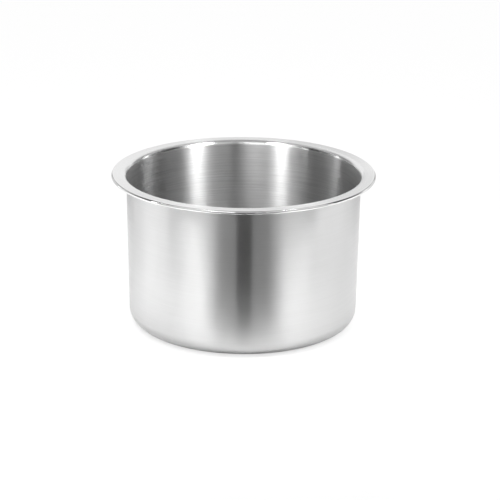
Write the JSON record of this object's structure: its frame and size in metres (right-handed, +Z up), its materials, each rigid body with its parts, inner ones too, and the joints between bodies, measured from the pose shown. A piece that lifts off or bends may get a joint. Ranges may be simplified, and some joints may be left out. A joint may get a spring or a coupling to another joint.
{
  "type": "soup kettle insert pot",
  "caption": "Round drop-in stainless steel soup pot with a slightly tapered wall, rounded base corner and a flat hanging flange with a rolled edge.",
  "frame": {"origin": "middle of the base's underside, on the pot's axis", "axes": "+Z up the pot's axis, towards the mouth; -Y faces the picture's camera"},
  "size_m": [0.31, 0.31, 0.182],
  "materials": {
    "pot_steel": "stainless steel brushed round the axis, polished at the mouth's bend and the rolled edge",
    "wire_steel": "plain drawn steel wire"
  },
  "bodies": {
    "root": {"drawn_pot": "pot_steel", "rim_wire": "wire_steel"}
  },
  "joints": []
}
